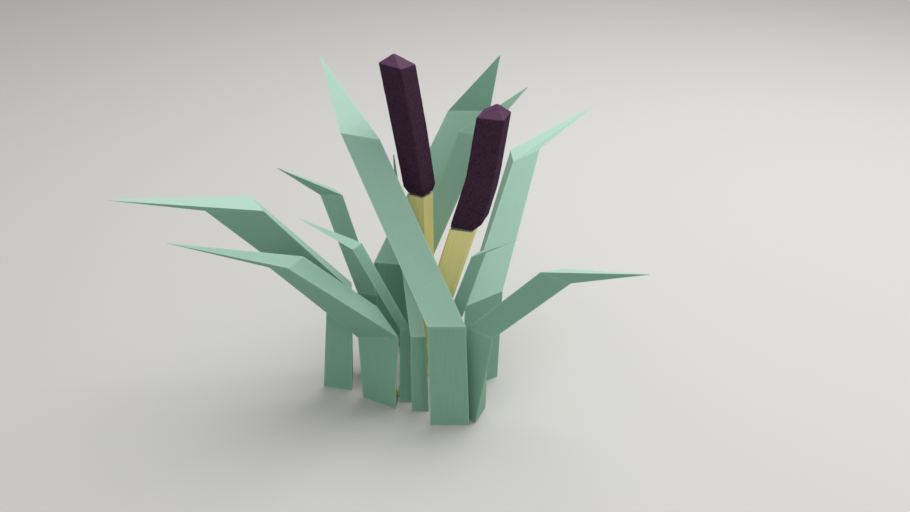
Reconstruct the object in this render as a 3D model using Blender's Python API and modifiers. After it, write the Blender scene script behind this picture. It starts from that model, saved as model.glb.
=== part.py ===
"""Clump of cattails: two stalks with dark seed heads among eleven folded leaves.

The clump is cut off flat where it met the ground, and the origin is the middle of the tall stalk's
cut foot. +X is to the viewer's right, +Y goes away from the viewer and +Z is up. Lengths in the
design are millimetres, and the meshes are in metres.
"""
import math
from collections import namedtuple

import bmesh
import bpy
from mathutils import Matrix, Vector

MM = 0.001
GAP = 0.4

# Stalks: four flat sides with softened corners, and the seed heads are the same form but thicker
STALK_CORNER = 1.2
HEAD_CORNER = 1.6
CORNER_STEPS = 2
SHARP_CORNER = math.radians(62)

# Finishes: linear colour, roughness
FINISHES = {
    "leaf_green": ((0.235, 0.420, 0.310), 0.55),
    "stalk_straw": ((0.500, 0.445, 0.165), 0.60),
    "head_brown": ((0.034, 0.012, 0.026), 0.90),
}

# The keel is the ridge on the back of a leaf: how far along the blade's width it runs, as a part of
# the width, how far it stands out, and how much higher it lies
Keel = namedtuple("Keel", "along out up", defaults=(0.0,))

# One station of a leaf: middle of the blade, heading of its left edge to its right one seen from
# the front, width along that line, how far the right edge is tipped up, and its keel where that
# isn't the same as along the rest of the leaf
Station = namedtuple("Station", "x y z heading width tip_up keel", defaults=(0.0, None))

# One level ring of a stalk: its middle, its size from corner to corner, and how far it leans down
# to the right
Ring = namedtuple("Ring", "x y z across lean", defaults=(0.0,))


def clear_scene():
    for item in list(bpy.data.objects):
        bpy.data.objects.remove(item, do_unlink=True)


def make_collection(name):
    group = bpy.data.collections.new(name)
    bpy.context.scene.collection.children.link(group)
    return group


def make_material(name):
    colour, roughness = FINISHES[name]
    material = bpy.data.materials.new(name)
    material.use_nodes = True
    shader = material.node_tree.nodes["Principled BSDF"]
    shader.inputs["Base Color"].default_value = (*colour, 1.0)
    shader.inputs["Roughness"].default_value = roughness
    shader.inputs["Metallic"].default_value = 0.0
    return material


def station_corners(station, leaf_keel):
    """Left edge, right edge and keel of a leaf's three-sided section."""
    keel = station.keel or leaf_keel
    heading = math.radians(station.heading)
    tip_up = math.radians(station.tip_up)
    across = Vector((math.cos(heading) * math.cos(tip_up), math.sin(heading) * math.cos(tip_up),
                     math.sin(tip_up)))
    outward = Vector((-math.sin(heading), math.cos(heading), 0.0))
    width = station.width * MM
    left = Vector((station.x, station.y, station.z)) * MM - across * (width / 2)
    right = left + across * width
    ridge = left + across * (width * keel.along) + outward * (keel.out * MM)
    ridge.z += keel.up * MM
    return left, right, ridge


def make_leaf(name, group, material, keel, foot, knee, elbow, tip):
    """A leaf rises from its flat cut foot, folds at the knee and the elbow, and ends in a point."""
    bm = bmesh.new()
    rings = []
    for station in (foot, knee, elbow):
        rings.append([bm.verts.new(corner) for corner in station_corners(station, keel)])
    point = bm.verts.new(Vector(tip) * MM)
    sides = len(rings[0])
    bm.faces.new(reversed(rings[0]))
    for lower, upper in zip(rings, rings[1:]):
        for side in range(sides):
            following = (side + 1) % sides
            bm.faces.new((lower[side], lower[following], upper[following], upper[side]))
    for side in range(sides):
        bm.faces.new((rings[-1][side], rings[-1][(side + 1) % sides], point))
    bmesh.ops.triangulate(bm, faces=bm.faces[:], quad_method="SHORT_EDGE")
    bmesh.ops.recalc_face_normals(bm, faces=bm.faces[:])
    mesh = bpy.data.meshes.new(name)
    bm.to_mesh(mesh)
    bm.free()
    mesh.materials.append(material)
    leaf = bpy.data.objects.new(name, mesh)
    group.objects.link(leaf)
    return leaf


def ring_matrix(ring, heading):
    turn = Matrix.Rotation(math.radians(heading), 4, "Z")
    lean = Matrix.Rotation(math.radians(ring.lean), 4, "Y")
    size = Matrix.Diagonal((ring.across / 2 * MM, ring.across / 2 * MM, 1.0, 1.0))
    return Matrix.Translation(Vector(ring[:3]) * MM) @ lean @ turn @ size


def make_square_rod(name, group, material, heading, corner, rings):
    """A four-sided rod that is extruded from ring to ring, with its front corner turned by the
    heading to the viewer's right."""
    bm = bmesh.new()
    bmesh.ops.create_circle(bm, cap_ends=True, segments=4, radius=1.0,
                            matrix=ring_matrix(rings[0], heading))
    end = bm.faces[:]
    for lower, upper in zip(rings, rings[1:]):
        grown = bmesh.ops.extrude_face_region(bm, geom=end)["geom"]
        move = ring_matrix(upper, heading) @ ring_matrix(lower, heading).inverted()
        corners = [item for item in grown if isinstance(item, bmesh.types.BMVert)]
        bmesh.ops.transform(bm, matrix=move, verts=corners)
        if lower is not rings[0]:
            bmesh.ops.delete(bm, geom=end, context="FACES_ONLY")
        end = [item for item in grown if isinstance(item, bmesh.types.BMFace)]
    bmesh.ops.recalc_face_normals(bm, faces=bm.faces[:])
    mesh = bpy.data.meshes.new(name)
    bm.to_mesh(mesh)
    bm.free()
    mesh.materials.append(material)
    rod = bpy.data.objects.new(name, mesh)
    group.objects.link(rod)
    bevel = rod.modifiers.new("soften_corners", "BEVEL")
    bevel.width = corner * MM
    bevel.segments = CORNER_STEPS
    bevel.limit_method = "ANGLE"
    bevel.angle_limit = SHARP_CORNER
    return rod


def make_stalk(side, group, materials, heading, foot, neck, head):
    """A stem from its cut foot to the neck, and the seed head that starts one gap above it."""
    make_square_rod(f"{side}_stem", group, materials["stalk_straw"], heading, STALK_CORNER,
                    (foot, neck))
    seat = neck._replace(z=neck.z + GAP)
    make_square_rod(f"{side}_seed_head", group, materials["head_brown"], heading, HEAD_CORNER,
                    (seat, *head))


def build():
    clear_scene()
    clump = make_collection("cattail_clump")
    materials = {name: make_material(name) for name in FINISHES}
    green = materials["leaf_green"]

    # Rings of a seed head: shoulder, waist, crown and the top of the cap
    make_stalk("tall", clump, materials, heading=13,
               foot=Ring(0, 0, 0, 27.5),
               neck=Ring(-1, -1, 218, 27),
               head=(Ring(-2, -2, 226.5, 35), Ring(-11, 3, 285, 37), Ring(-22, 6, 351, 38.5, 6),
                     Ring(-25, 6, 361, 3)))
    make_stalk("short", clump, materials, heading=28,
               foot=Ring(-16, -43, 0, 31),
               neck=Ring(44.5, -14, 187, 35.5),
               head=(Ring(50, -13, 195, 45), Ring(59, -9, 224.5, 44),
                     Ring(63.5, -5, 241.5, 42), Ring(73, 4, 299.5, 41.5), Ring(76, 4, 311, 3)))

    make_leaf("front_tall_leaf", clump, green, keel=Keel(0.45, 15),
              foot=Station(29, -102, 0, 0, 41),
              knee=Station(26, -102, 118, 0, 39),
              elbow=Station(-61, 4, 277, -16, 43, -4),
              tip=(-112, 122, 325))
    make_leaf("centre_small_leaf", clump, green, keel=Keel(0.5, 7),
              foot=Station(-2.3, -78, 0, 0, 18.5),
              knee=Station(-3.3, -78, 92, 0, 16.5),
              elbow=Station(-20, -22, 180, 0, 10),
              tip=(-28, 6, 257))
    make_leaf("left_small_leaf", clump, green, keel=Keel(0.5, 6),
              foot=Station(-18.3, -61.6, 0, 0, 13.6),
              knee=Station(-18, -60, 91, 0, 11, 16),
              elbow=Station(-61, -73, 192, 54, 15, 6),
              tip=(-113.5, -84, 227))
    make_leaf("left_low_leaf", clump, green, keel=Keel(0.78, 20),
              foot=Station(-47, -63, 0, -31, 43),
              knee=Station(-45, -64, 82, -30, 54, 17, Keel(0.56, -4.6, 40)),
              elbow=Station(-133.5, -105, 185, 6, 18, -6, Keel(1.84, 15, 6)),
              tip=(-225, -139, 228))
    make_leaf("left_long_leaf", clump, green, keel=Keel(0.66, 36),
              foot=Station(-94, -35, 0, -14, 33),
              knee=Station(-86, -39, 117, -12, 33, 30, Keel(0.7, 26)),
              elbow=Station(-175, -82, 234, 0, 56),
              tip=(-295, -84, 246))
    make_leaf("left_back_leaf", clump, green, keel=Keel(0.6, 16),
              foot=Station(-60, -4, 0, 0, 22),
              knee=Station(-60, -4, 100, 0, 22, -10),
              elbow=Station(-96, 24, 204, 0, 24),
              tip=(-151, 24, 235))
    make_leaf("back_tall_leaf", clump, green, keel=Keel(0.5, 15),
              foot=Station(-37, 51, 0, 0, 42),
              knee=Station(-36, 51, 108, 0, 42, -5),
              elbow=Station(50, 135, 259, 0, 48),
              tip=(84, 142, 321))
    make_leaf("back_slim_leaf", clump, green, keel=Keel(0.5, 11),
              foot=Station(-7, 30, 0, 0, 30),
              knee=Station(-7, 30, 119, 0, 28),
              elbow=Station(53, 80, 252, 0, 31, -8),
              tip=(113, 106, 296))
    make_leaf("right_tall_leaf", clump, green, keel=Keel(0.42, 24),
              foot=Station(62, -26, 0, 36, 49),
              knee=Station(65, -26, 107, 35, 50, 3),
              elbow=Station(115, 109, 216, 39, 41, 7),
              tip=(201, 201, 244))
    make_leaf("right_small_leaf", clump, green, keel=Keel(0.5, 7),
              foot=Station(33, -58, 0, -12, 18),
              knee=Station(32, -58, 97, -12, 18, 15),
              elbow=Station(58, -52, 172, 0, 16, 18),
              tip=(97, -54, 190))
    make_leaf("right_low_leaf", clump, green, keel=Keel(0.6, 28),
              foot=Station(45, -88, 0, -45, 30),
              knee=Station(59.5, -97.5, 108, -24, 29, -11, Keel(0.7, 8)),
              elbow=Station(128, -125, 185, -19, 31, -13, Keel(0.6, 22)),
              tip=(209, -154, 204))


build()
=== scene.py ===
import itertools
import math

import bmesh
import bpy
import numpy as np
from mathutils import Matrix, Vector, noise


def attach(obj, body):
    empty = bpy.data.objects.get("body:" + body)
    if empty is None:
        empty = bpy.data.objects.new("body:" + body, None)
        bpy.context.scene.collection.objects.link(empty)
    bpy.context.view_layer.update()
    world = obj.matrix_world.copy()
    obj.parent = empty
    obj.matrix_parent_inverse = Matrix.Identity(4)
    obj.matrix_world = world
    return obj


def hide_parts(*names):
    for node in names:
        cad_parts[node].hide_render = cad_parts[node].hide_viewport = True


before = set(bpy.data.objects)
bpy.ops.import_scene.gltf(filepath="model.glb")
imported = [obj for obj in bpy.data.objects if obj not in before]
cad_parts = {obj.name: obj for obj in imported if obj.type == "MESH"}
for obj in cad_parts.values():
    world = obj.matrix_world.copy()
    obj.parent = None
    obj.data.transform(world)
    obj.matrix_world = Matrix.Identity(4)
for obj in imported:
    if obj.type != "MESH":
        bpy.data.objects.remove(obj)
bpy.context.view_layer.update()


# Camera
# A 40 mm lens on a 36 mm wide sensor, about a metre from the middle of the clump and 27 degrees
# above it, level from side to side, as the clump was seen in the photograph.
camera_lens = bpy.data.cameras.new("camera")
camera_lens.lens = 40.0
camera_lens.sensor_width = 36.0
camera = bpy.data.objects.new("camera", camera_lens)
bpy.context.scene.collection.objects.link(camera)
camera_target = Vector((0.0343, -0.0540, 0.1717))
camera_distance = 1.011
camera_rise = math.radians(27.0)
camera.location = camera_target + camera_distance * Vector(
    (0.0, -math.cos(camera_rise), math.sin(camera_rise)))
camera.rotation_euler = (math.pi / 2 - camera_rise, 0.0, 0.0)
bpy.context.scene.camera = camera
bpy.context.scene.view_settings.view_transform = "Standard"


# Leaves
# Living cattail blades: stiff, spongy leaf tissue under a bloom of wax, three-sided in section with
# a keel along the back. Each grew in one piece and has two sharp folds and a drawn-out tip. It was
# cut off level at the ground.
MM = 0.001
LEAVES = (
    "front_tall_leaf", "centre_small_leaf", "left_small_leaf", "left_low_leaf", "left_long_leaf",
    "left_back_leaf", "back_tall_leaf", "back_slim_leaf", "right_tall_leaf", "right_small_leaf",
    "right_low_leaf",
)
CORNER_WELD = 0.05 * MM         # corners of a solid nearer than this are one
RIB_SPACING = 2.8 * MM          # main parallel veins at the widest part of a blade
RIB_DEPTH = 0.03                # of their spacing
RIB_STEPS = 4                   # mesh columns for each vein
RING_SPACING = 3.0 * MM         # of the mesh, along a blade
EDGE_ROUND = 0.9 * MM
EDGE_ROUND_SHARE = 0.18         # of a narrow side, near the tip
EDGE_STEPS = (0.25, 0.5, 0.75)  # where a rounded edge's points lie on its arc
EDGE_REACH = 1.5 * MM           # how far wear spreads from a long edge
EDGE_GRAIN = 0.2                # millimetres of grain from one point of a rounded edge to the next
FOLD_SOFTNESS = 0.5 * MM
FOLD_REACH = 2.5 * MM           # how far wear spreads from a fold
LEAF_CREASE = 40                # degrees between faces that still look smooth
TIP_WIDTH = 1.4 * MM            # the point is a little blunt, not a needle
TIP_ROUND = 1.2 * MM            # how far from the point its rounding starts
LEAF_GRAIN_SHIFT = 137.0        # millimetres, so that no two leaves have the same grain


def corner_rings(node):
    """The sections of a leaf's solid at the foot, knee and elbow, and one just short of its tip.
    Each corner is matched to the nearest one of the next section that the solid joins it to."""
    bm = bmesh.new()
    bm.from_mesh(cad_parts[node].data)
    bmesh.ops.remove_doubles(bm, verts=bm.verts[:], dist=CORNER_WELD)
    corners = sorted(bm.verts, key=lambda corner: corner.co.z)
    middle = sum((corner.co for corner in corners[:3]), Vector()) / 3
    rings = [sorted(corners[:3], key=lambda corner: math.atan2(corner.co.y - middle.y,
                                                               corner.co.x - middle.x))]
    for start in (3, 6):
        joined = [order for order in itertools.permutations(corners[start:start + 3])
                  if all(upper in [edge.other_vert(lower) for edge in lower.link_edges]
                         for lower, upper in zip(rings[-1], order))]
        rings.append(min(joined, key=lambda order: sum(
            (upper.co.xy - lower.co.xy).length_squared for lower, upper in zip(rings[-1], order))))
    rings = [np.array([corner.co for corner in ring]) for ring in rings]
    point = np.array(corners[-1].co)
    bm.free()
    offsets = rings[-1] - rings[-1].mean(axis=0)
    rings.append(point + offsets * (TIP_WIDTH / 2 / np.abs(offsets).max()))
    return rings, point


def ring_shares(length, last):
    """How far along a stretch between two folds its rings lie, closer together at its ends."""
    count = max(3, round(length / RING_SPACING))
    shares = list(np.linspace(0.0, 1.0, count + 1))[1:-1]
    near_end = TIP_ROUND if last else FOLD_SOFTNESS
    return [0.0, FOLD_SOFTNESS / length] + shares + [1.0 - near_end / length]


def rounded_outline(corners, along, columns):
    """A section's outline with rounded corners and a shallow groove between one vein and the next,
    and how near each point is to a long edge."""
    outline, nearness = [], []
    sides = np.roll(corners, -1, axis=0) - corners
    lengths = np.linalg.norm(sides, axis=1)
    rounds = np.minimum(EDGE_ROUND, EDGE_ROUND_SHARE * lengths)
    for side in range(3):
        corner = corners[side]
        before = corner - sides[side - 1] / lengths[side - 1] * rounds[side - 1]
        after = corner + sides[side] / lengths[side] * rounds[side]
        for step in EDGE_STEPS:
            outline.append((1 - step) ** 2 * before + 2 * step * (1 - step) * corner
                           + step ** 2 * after)
            nearness.append(1.0)
        outward = np.cross(sides[side], along)
        outward /= np.linalg.norm(outward)
        flat = lengths[side] - 2 * rounds[side]
        ribs = columns[side] // RIB_STEPS
        for column in range(columns[side] + 1):
            share = column / columns[side]
            groove = 0.5 - 0.5 * math.cos(2 * math.pi * ribs * share)
            place = after + sides[side] / lengths[side] * flat * share
            outline.append(place - outward * groove * RIB_DEPTH * flat / ribs)
            nearness.append(max(0.0, 1.0 - min(share, 1.0 - share) * flat / EDGE_REACH))
    return np.array(outline), nearness


def leaf_rings(stations, columns):
    """A blade's rings from the foot to the tip: their outlines, how near each point is to a long
    edge and to a fold, and how many millimetres along the blade each ring lies."""
    outlines, edge_nearness, fold_nearness, lengthwise = [], [], [], []
    travelled = 0.0
    for start, end in zip(stations, stations[1:]):
        along = end.mean(axis=0) - start.mean(axis=0)
        length = np.linalg.norm(along)
        last = end is stations[-1]
        for share in ring_shares(length, last):
            outline, nearness = rounded_outline(start + (end - start) * share, along, columns)
            outlines.append(outline)
            edge_nearness += nearness
            from_fold = min(share, 1.0 if last else 1.0 - share) * length
            fold_nearness += [max(0.0, 1.0 - from_fold / FOLD_REACH)] * len(outline)
            lengthwise.append((travelled + share * length) / MM)
        travelled += length
    return outlines, edge_nearness, fold_nearness, lengthwise


def grain_across(widest, columns):
    """Where the mesh columns lie across the grain, in millimetres round the blade's section."""
    across = [0.0]
    for width, count in zip(widest, columns):
        across += [across[-1] + EDGE_GRAIN] * len(EDGE_STEPS)
        across += [across[-1] + width / MM / count * column for column in range(count + 1)]
    return across[1:] + [across[-1] + EDGE_GRAIN]


def tube_faces(across, lengthwise):
    """The four-sided faces from ring to ring, and the grain at their corners in millimetres:
    across the blade or stem, then along it."""
    around = len(across) - 1
    faces, grain = [], []
    for ring, (low, high) in enumerate(zip(lengthwise, lengthwise[1:])):
        for column in range(around):
            following = (column + 1) % around
            faces.append((ring * around + column, ring * around + following,
                          (ring + 1) * around + following, (ring + 1) * around + column))
            grain += [(across[column], low), (across[column + 1], low),
                      (across[column + 1], high), (across[column], high)]
    return faces, grain


def grown_piece(name, points, faces, grain, crease):
    """An object with its grain in a UV map, smooth but for creases sharper than an angle."""
    mesh = bpy.data.meshes.new(name)
    mesh.from_pydata([tuple(point) for point in points], [], faces)
    mesh.uv_layers.new(name="grain").data.foreach_set("uv", np.array(grain).ravel())
    mesh.shade_smooth()
    mesh.set_sharp_from_angle(angle=math.radians(crease))
    piece = bpy.data.objects.new(name, mesh)
    bpy.context.scene.collection.objects.link(piece)
    return piece


def grow_leaf(node, number):
    """The blade, ring by ring from the cut foot to the point."""
    stations, point = corner_rings(node)
    widest = [max(np.linalg.norm(ring[(side + 1) % 3] - ring[side]) for ring in stations)
              for side in range(3)]
    columns = [max(3, round(width / RIB_SPACING)) * RIB_STEPS for width in widest]
    outlines, edge_nearness, fold_nearness, lengthwise = leaf_rings(stations, columns)
    points = np.concatenate(outlines + [point[None]])
    across = grain_across(widest, columns)
    faces, grain = tube_faces(across, lengthwise)
    around = len(outlines[0])
    last = (len(outlines) - 1) * around
    for column in range(around):
        faces.append((last + column, last + (column + 1) % around, len(points) - 1))
        grain += [(across[column], lengthwise[-1]), (across[column + 1], lengthwise[-1]),
                  (across[column], lengthwise[-1] + 1.0)]
    foot_face = tuple(range(around - 1, -1, -1))
    faces.append(foot_face)
    foot_middle = stations[0].mean(axis=0)
    grain += [tuple((points[corner] - foot_middle)[:2] / MM) for corner in foot_face]
    shift = LEAF_GRAIN_SHIFT * number
    leaf = grown_piece(f"{node}_blade", points, faces, [(u + shift, v + shift) for u, v in grain],
                       LEAF_CREASE)
    edge = leaf.data.attributes.new("edge", "FLOAT", "POINT")
    edge.data.foreach_set("value", edge_nearness + [1.0])
    fold = leaf.data.attributes.new("fold", "FLOAT", "POINT")
    fold.data.foreach_set("value", fold_nearness + [0.0])
    leaf.data.polygons[-1].material_index = 1
    return leaf


def hex_colour(code):
    """An sRGB hex value as the linear colour that shaders take."""
    channels = [int(code[place:place + 2], 16) / 255 for place in (1, 3, 5)]
    return (*[c / 12.92 if c <= 0.04045 else ((c + 0.055) / 1.055) ** 2.4 for c in channels], 1.0)


def add_node(tree, kind, inputs=(), **settings):
    """Adds a shader node, sets its properties, and sets its inputs or links them to sockets."""
    node = tree.nodes.new("ShaderNode" + kind)
    for name, value in settings.items():
        setattr(node, name, value)
    for name, value in dict(inputs).items():
        if isinstance(value, bpy.types.NodeSocket):
            tree.links.new(value, node.inputs[name])
        else:
            node.inputs[name].default_value = value
    return node


def empty_material(name):
    material = bpy.data.materials.new(name)
    material.use_nodes = True
    material.node_tree.nodes.clear()
    return material, material.node_tree


def waxy_leaf():
    """Leaf cuticle under wax: grey-green, half matt, with fine parallel veins, the short cross
    walls of the air channels between them, and painted top light: paler on what faces the sky.
    The sizes of its patterns are in millimetres."""
    material, tree = empty_material("waxy_leaf")
    fibre_width, fibre_length = 0.9, 45.0
    patch_width, patch_length = 16.0, 60.0
    channel_width, wall_spacing, wall_width = 1.4, 9.0, 0.14
    grain = add_node(tree, "UVMap", uv_map="grain").outputs["UV"]
    fibres = add_node(tree, "Mapping", {"Vector": grain,
                                        "Scale": (1 / fibre_width, 1 / fibre_length, 1.0)})
    fibre_noise = add_node(tree, "TexNoise", {"Vector": fibres.outputs["Vector"], "Scale": 1.0,
                                              "Detail": 3.0, "Roughness": 0.6})
    patches = add_node(tree, "Mapping", {"Vector": grain,
                                         "Scale": (1 / patch_width, 1 / patch_length, 1.0)})
    patch_noise = add_node(tree, "TexNoise", {"Vector": patches.outputs["Vector"], "Scale": 1.0,
                                              "Detail": 2.0})
    turned = add_node(tree, "Mapping", {"Vector": grain, "Rotation": (0, 0, math.pi / 2)})
    walls = add_node(tree, "TexBrick", {
        "Vector": turned.outputs["Vector"], "Color1": (1, 1, 1, 1), "Color2": (0.9, 0.9, 0.9, 1),
        "Mortar": (0, 0, 0, 1), "Scale": 1.0, "Mortar Size": wall_width, "Mortar Smooth": 0.6,
        "Brick Width": wall_spacing, "Row Height": channel_width}, offset=0.37,
        offset_frequency=3)
    tissue = add_node(tree, "ValToRGB", {"Fac": fibre_noise.outputs["Fac"]})
    tissue.color_ramp.elements[0].position = 0.30
    tissue.color_ramp.elements[0].color = hex_colour("#709B87")
    tissue.color_ramp.elements[1].position = 0.72
    tissue.color_ramp.elements[1].color = hex_colour("#7EAA95")
    patched = add_node(tree, "MixRGB", {"Color1": tissue.outputs["Color"],
                                        "Color2": hex_colour("#72A28B"),
                                        "Fac": patch_noise.outputs["Fac"]}, blend_type="MIX")
    walled = add_node(tree, "MixRGB", {"Fac": 0.10, "Color1": patched.outputs["Color"],
                                       "Color2": walls.outputs["Color"]}, blend_type="MULTIPLY")
    # Painted top light: the more a face points up, the more it is mixed towards a pale green,
    # standing in for light from above.
    surface = add_node(tree, "NewGeometry")
    facing = add_node(tree, "SeparateXYZ", {"Vector": surface.outputs["Normal"]})
    painted_top_light = add_node(tree, "MapRange", {"Value": facing.outputs["Z"], "From Min": 0.0,
                                          "From Max": 1.0, "To Min": 0.0, "To Max": 0.45})
    top_lit = add_node(tree, "MixRGB", {"Fac": painted_top_light.outputs["Result"],
                                        "Color1": walled.outputs["Color"],
                                        "Color2": hex_colour("#C0DACF")})
    edge = add_node(tree, "Attribute", attribute_name="edge")
    fold = add_node(tree, "Attribute", attribute_name="fold")
    worn = add_node(tree, "Math", {0: edge.outputs["Fac"], 1: fold.outputs["Fac"]},
                    operation="MAXIMUM")
    worn_share = add_node(tree, "Math", {0: worn.outputs["Value"], 1: 0.22}, operation="MULTIPLY")
    edged = add_node(tree, "MixRGB", {"Fac": worn_share.outputs["Value"],
                                      "Color1": top_lit.outputs["Color"],
                                      "Color2": hex_colour("#A9CBB4")})
    roughness = add_node(tree, "MapRange", {"Value": patch_noise.outputs["Fac"], "To Min": 0.46,
                                            "To Max": 0.62})
    relief = add_node(tree, "Math", {0: fibre_noise.outputs["Fac"], 1: walls.outputs["Color"]},
                      operation="ADD")
    bump = add_node(tree, "Bump", {"Height": relief.outputs["Value"], "Strength": 0.5,
                                   "Distance": 0.06 * MM})
    shader = add_node(tree, "BsdfPrincipled", {
        "Base Color": edged.outputs["Color"], "Roughness": roughness.outputs["Result"],
        "IOR": 1.42, "Normal": bump.outputs["Normal"]})
    add_node(tree, "OutputMaterial", {"Surface": shader.outputs["BSDF"]})
    return material


def cut_pith():
    """The cut foot of a leaf or stem: pale, dry, spongy tissue full of air channels 2 to 3 mm
    wide, whose thin walls stand proud of the sunken pith. The sunken pith is painted darker than
    the walls, as painted shade."""
    material, tree = empty_material("cut_pith")
    channel_width = 2.4
    wall_share = 0.16
    grain = add_node(tree, "UVMap", uv_map="grain").outputs["UV"]
    channels = add_node(tree, "TexVoronoi", {"Vector": grain, "Scale": 1 / channel_width},
                        feature="DISTANCE_TO_EDGE")
    walls = add_node(tree, "MapRange", {"Value": channels.outputs["Distance"], "From Min": 0.0,
                                        "From Max": wall_share, "To Min": 1.0, "To Max": 0.0})
    # Painted shade: the sunken pith between the walls gets a darker colour than the walls.
    colour = add_node(tree, "MixRGB", {"Fac": walls.outputs["Result"],
                                       "Color1": hex_colour("#A9B58E"),
                                       "Color2": hex_colour("#DDE0BF")})
    bump = add_node(tree, "Bump", {"Height": walls.outputs["Result"], "Distance": 0.3 * MM,
                                   "Strength": 1.0})
    shader = add_node(tree, "BsdfPrincipled", {
        "Base Color": colour.outputs["Color"], "Roughness": 0.8, "IOR": 1.45,
        "Normal": bump.outputs["Normal"]})
    add_node(tree, "OutputMaterial", {"Surface": shader.outputs["BSDF"]})
    return material


leaf_material = waxy_leaf()
pith_material = cut_pith()
for leaf_number, leaf_node in enumerate(LEAVES):
    blade = grow_leaf(leaf_node, leaf_number)
    blade.data.materials.append(leaf_material)
    blade.data.materials.append(pith_material)
    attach(blade, "root")
    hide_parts(leaf_node)


# Stems
# Dry, ochre stalks with four flat sides and softened corners, of tough lengthwise fibres round a
# spongy pith. Each was cut off level at the ground and ends under its seed head.
FIBRE_SPACING = 1.6 * MM
FIBRE_DEPTH = 0.16 * MM
FIBRE_STEPS = 4                 # mesh columns for each bundle of fibres
GROOVE_LEAST = 0.6              # of the fibre depth, where a groove is shallowest
GROOVE_SPREAD = 0.8             # of the fibre depth, from there to where it is deepest
BUNDLE_CHANGE = 0.7             # how fast the depth changes from one bundle to the next
RING_CHANGE = 0.13              # and from one ring of the mesh to the next
STEM_CHANGE = 9.0               # and from one stem to the other
FLAT_SIDE = 3.0 * MM            # longer sides of the solid's outline are flat, the rest corner
STEM_RING_SPACING = 4.0 * MM    # of the mesh, along a stem
STEM_CREASE = 50                # degrees between faces that still look smooth
STEM_GRAIN_SHIFT = 211.0        # millimetres, so that the stems differ in grain


def stem_outlines(node):
    """Foot and neck outlines of a stem's solid, each sorted round its middle."""
    corners = {tuple(round(c, 6) for c in vertex.co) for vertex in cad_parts[node].data.vertices}
    corners = np.array(sorted(corners, key=lambda corner: corner[2]))
    half = len(corners) // 2
    outlines = []
    for ring in (corners[:half], corners[half:]):
        middle = ring.mean(axis=0)
        outlines.append(ring[np.argsort(np.arctan2(ring[:, 1] - middle[1], ring[:, 0] - middle[0]))])
    return outlines


def grow_stem(node, number):
    """The stem, ring by ring from foot to neck, with a groove between one bundle of fibres and the
    next that is deeper in some places than in others."""
    foot, neck = stem_outlines(node)
    shares, bundles = [], []
    for corner, (start, end) in enumerate(zip(foot, np.roll(foot, -1, axis=0))):
        width = np.linalg.norm(end - start)
        steps = round(width / FIBRE_SPACING) * FIBRE_STEPS if width > FLAT_SIDE else 1
        for step in range(steps):
            shares.append((corner, step / steps))
            bundles.append(step / FIBRE_STEPS if width > FLAT_SIDE else 0.0)
    length = np.linalg.norm(neck.mean(axis=0) - foot.mean(axis=0))
    count = round(length / STEM_RING_SPACING)
    points = []
    for ring in range(count + 1):
        outline = foot + (neck - foot) * (ring / count)
        middle = outline.mean(axis=0)
        following = np.roll(outline, -1, axis=0)
        for (corner, share), bundle in zip(shares, bundles):
            place = outline[corner] + (following[corner] - outline[corner]) * share
            sway = 0.5 + 0.5 * noise.noise((corner + bundle * BUNDLE_CHANGE, ring * RING_CHANGE,
                                            number * STEM_CHANGE))
            depth = FIBRE_DEPTH * (GROOVE_LEAST + GROOVE_SPREAD * sway)
            inward = middle - place
            inward /= np.linalg.norm(inward)
            points.append(place + inward * depth * (0.5 - 0.5 * math.cos(2 * math.pi * bundle)))
    around = len(shares)
    steps = np.linalg.norm(np.diff(points[:around] + points[:1], axis=0), axis=1) / MM
    across = np.concatenate([[0.0], np.cumsum(steps)]) + STEM_GRAIN_SHIFT * number
    faces, grain = tube_faces(across, [ring * length / count / MM for ring in range(count + 1)])
    foot_face = tuple(range(around - 1, -1, -1))
    neck_face = tuple(count * around + column for column in range(around))
    for face in (foot_face, neck_face):
        faces.append(face)
        grain += [tuple(points[corner][:2] / MM) for corner in face]
    stem = grown_piece(f"{node}_stalk", points, faces, grain, STEM_CREASE)
    for face in stem.data.polygons[-2:]:
        face.material_index = 1
    return stem


def straw_stalk():
    """Dried stalk: straw-ochre and matt, with lengthwise fibres from 0.5 to 2 mm apart, darker
    where dust and shade lie between them, and long paler and browner stretches. The sizes of its
    patterns are in millimetres."""
    material, tree = empty_material("straw_stalk")
    fibre_width, fibre_length = 0.8, 40.0
    stretch_width, stretch_length = 12.0, 55.0
    grain = add_node(tree, "UVMap", uv_map="grain").outputs["UV"]
    fibres = add_node(tree, "Mapping", {"Vector": grain,
                                        "Scale": (1 / fibre_width, 1 / fibre_length, 1.0)})
    fibre_noise = add_node(tree, "TexNoise", {"Vector": fibres.outputs["Vector"], "Scale": 1.0,
                                              "Detail": 3.0, "Roughness": 0.6})
    stretches = add_node(tree, "Mapping", {"Vector": grain,
                                           "Scale": (1 / stretch_width, 1 / stretch_length, 1.0)})
    stretch_noise = add_node(tree, "TexNoise", {"Vector": stretches.outputs["Vector"],
                                                "Scale": 1.0, "Detail": 2.0})
    colour = add_node(tree, "ValToRGB", {"Fac": fibre_noise.outputs["Fac"]})
    colour.color_ramp.elements[0].position = 0.28
    colour.color_ramp.elements[0].color = hex_colour("#D5C980")
    colour.color_ramp.elements[1].position = 0.68
    colour.color_ramp.elements[1].color = hex_colour("#EDE4A2")
    weathered = add_node(tree, "MixRGB", {"Fac": stretch_noise.outputs["Fac"],
                                          "Color1": colour.outputs["Color"],
                                          "Color2": hex_colour("#E1D689")})
    roughness = add_node(tree, "MapRange", {"Value": stretch_noise.outputs["Fac"], "To Min": 0.52,
                                            "To Max": 0.70})
    bump = add_node(tree, "Bump", {"Height": fibre_noise.outputs["Fac"], "Distance": 0.12 * MM,
                                   "Strength": 0.6})
    shader = add_node(tree, "BsdfPrincipled", {
        "Base Color": weathered.outputs["Color"], "Roughness": roughness.outputs["Result"],
        "IOR": 1.45, "Normal": bump.outputs["Normal"]})
    add_node(tree, "OutputMaterial", {"Surface": shader.outputs["BSDF"]})
    return material


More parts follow.
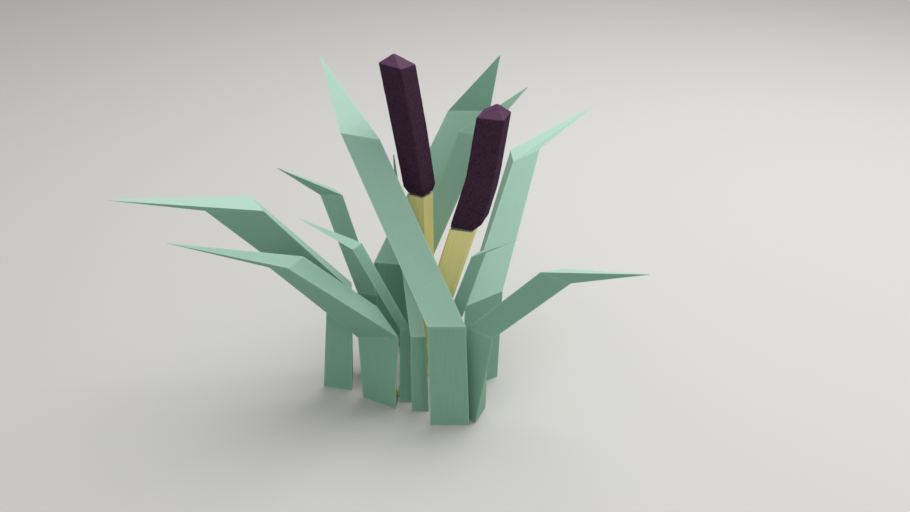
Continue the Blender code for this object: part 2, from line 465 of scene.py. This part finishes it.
stalk_material = straw_stalk()
for stem_number, stem_node in enumerate(("tall_stem", "short_stem")):
    stalk = grow_stem(stem_node, stem_number)
    stalk.data.materials.append(stalk_material)
    stalk.data.materials.append(pith_material)
    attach(stalk, "root")
    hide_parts(stem_node)


# Seed heads
# Two spikes of tightly packed seed hairs, a firm dark felt with a fine nap, four-sided with a low
# pyramid at the top. They grew on the stems, and the ends of their tufts are all that shows.
FELT_CELL = 0.65 * MM           # mesh cells, fine enough for one tuft
TUFT_SPACING = 2.0 * MM
TUFT_DEPTH = 0.22 * MM
CLUMP_SPACING = 9.0 * MM        # slow swells where hairs are packed tighter or looser
CLUMP_DEPTH = 0.25 * MM


def felt_head(node):
    """The head's solid as a fine closed mesh, pressed in between the ends of its hair tufts, with
    how deep each point lies kept to paint shade between the tufts into the colour."""
    head = bpy.data.objects.new(f"{node}_felt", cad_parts[node].data.copy())
    bpy.context.scene.collection.objects.link(head)
    cells = head.modifiers.new("even_cells", "REMESH")
    cells.mode = "VOXEL"
    cells.voxel_size = FELT_CELL
    shaped = head.evaluated_get(bpy.context.evaluated_depsgraph_get())
    mesh = bpy.data.meshes.new_from_object(shaped)
    mesh.name = f"{node}_felt"
    head.modifiers.clear()
    head.data = mesh
    places = np.array([vertex.co for vertex in mesh.vertices])
    normals = np.array([normal.vector for normal in mesh.vertex_normals])
    hollow = np.array([min(1.0, noise.voronoi(place / TUFT_SPACING)[0][0]) for place in places])
    swell = np.array([0.5 + 0.5 * noise.noise(place / CLUMP_SPACING) for place in places])
    places -= normals * (hollow * TUFT_DEPTH + swell * CLUMP_DEPTH)[:, None]
    mesh.vertices.foreach_set("co", places.ravel())
    mesh.attributes.new("hollow", "FLOAT", "POINT").data.foreach_set("value", hollow)
    mesh.materials.clear()
    mesh.shade_smooth()
    return head


def seed_felt():
    """Packed seed hairs: nearly black purple-brown felt, quite matt, with painted shade that darkens
    it between the tufts and painted top light that turns it mauve on what faces the sky."""
    material, tree = empty_material("seed_felt")
    hair_width = 0.5 * MM
    # Painted shade: the deeper a point lies between the tufts, the darker its colour.
    hollow = add_node(tree, "Attribute", attribute_name="hollow")
    nap_with_painted_shade = add_node(tree, "ValToRGB", {"Fac": hollow.outputs["Fac"]})
    nap_with_painted_shade.color_ramp.elements[0].position = 0.15
    nap_with_painted_shade.color_ramp.elements[0].color = hex_colour("#412A3D")
    nap_with_painted_shade.color_ramp.elements[1].position = 0.75
    nap_with_painted_shade.color_ramp.elements[1].color = hex_colour("#332030")
    # Painted top light: the more a face points up, the more it is mixed towards a paler mauve.
    surface = add_node(tree, "NewGeometry")
    facing = add_node(tree, "SeparateXYZ", {"Vector": surface.outputs["Normal"]})
    painted_top_light = add_node(tree, "MapRange", {"Value": facing.outputs["Z"], "From Min": 0.45,
                                          "From Max": 0.95, "To Min": 0.0, "To Max": 0.8})
    top_lit_felt = add_node(tree, "MixRGB", {"Fac": painted_top_light.outputs["Result"],
                                       "Color1": nap_with_painted_shade.outputs["Color"],
                                       "Color2": hex_colour("#6A4963")})
    place = add_node(tree, "TexCoord").outputs["Object"]
    hairs = add_node(tree, "TexNoise", {"Vector": place, "Scale": 1 / hair_width, "Detail": 2.0})
    bump = add_node(tree, "Bump", {"Height": hairs.outputs["Fac"], "Distance": 0.15 * MM,
                                   "Strength": 0.5})
    shader = add_node(tree, "BsdfPrincipled", {
        "Base Color": top_lit_felt.outputs["Color"], "Roughness": 0.95, "Specular IOR Level": 0.08,
        "Normal": bump.outputs["Normal"]})
    add_node(tree, "OutputMaterial", {"Surface": shader.outputs["BSDF"]})
    return material


felt_material = seed_felt()
for head_node in ("tall_seed_head", "short_seed_head"):
    felt = felt_head(head_node)
    felt.data.materials.append(felt_material)
    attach(felt, "root")
    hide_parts(head_node)


# Floor
# A plain pale matt studio floor that reaches past the edges of the photograph's view. It lies just
# under the cut feet, so that no two faces share a plane.
FLOOR_WIDTH = 12.0
FLOOR_DROP = 0.2 * MM
bpy.ops.mesh.primitive_plane_add(size=FLOOR_WIDTH, location=(0.0, 0.0, -FLOOR_DROP))
floor = bpy.context.object
floor.name = "floor"
floor_material, floor_tree = empty_material("pale_floor")
floor_shader = add_node(floor_tree, "BsdfPrincipled", {"Base Color": hex_colour("#B9B8B5"),
                                                       "Roughness": 0.9})
add_node(floor_tree, "OutputMaterial", {"Surface": floor_shader.outputs["BSDF"]})
floor.data.materials.append(floor_material)


# Light
# Two large soft lamps and an even pale surround: a strong one high on the right and a little behind
# the clump, and a weak one in front that opens the shade between the leaves.
def soft_lamp(name, direction, distance, size, energy):
    """A round lamp that faces the clump from a direction, in metres and watts."""
    lamp = bpy.data.lights.new(name, "AREA")
    lamp.shape = "DISK"
    lamp.size = size
    lamp.energy = energy
    towards = Vector(direction).normalized()
    light = bpy.data.objects.new(name, lamp)
    light.location = camera_target + towards * distance
    light.rotation_euler = towards.to_track_quat("Z", "Y").to_euler()
    bpy.context.scene.collection.objects.link(light)


soft_lamp("key_light", (0.35, 0.30, 0.88), distance=1.9, size=2.0, energy=43.0)
soft_lamp("fill_light", (0.15, -0.90, 0.40), distance=2.0, size=1.6, energy=6.5)
surround = bpy.data.worlds.new("surround")
surround.use_nodes = True
surround.node_tree.nodes["Background"].inputs["Color"].default_value = hex_colour("#FFFFFF")
surround.node_tree.nodes["Background"].inputs["Strength"].default_value = 0.57
bpy.context.scene.world = surround
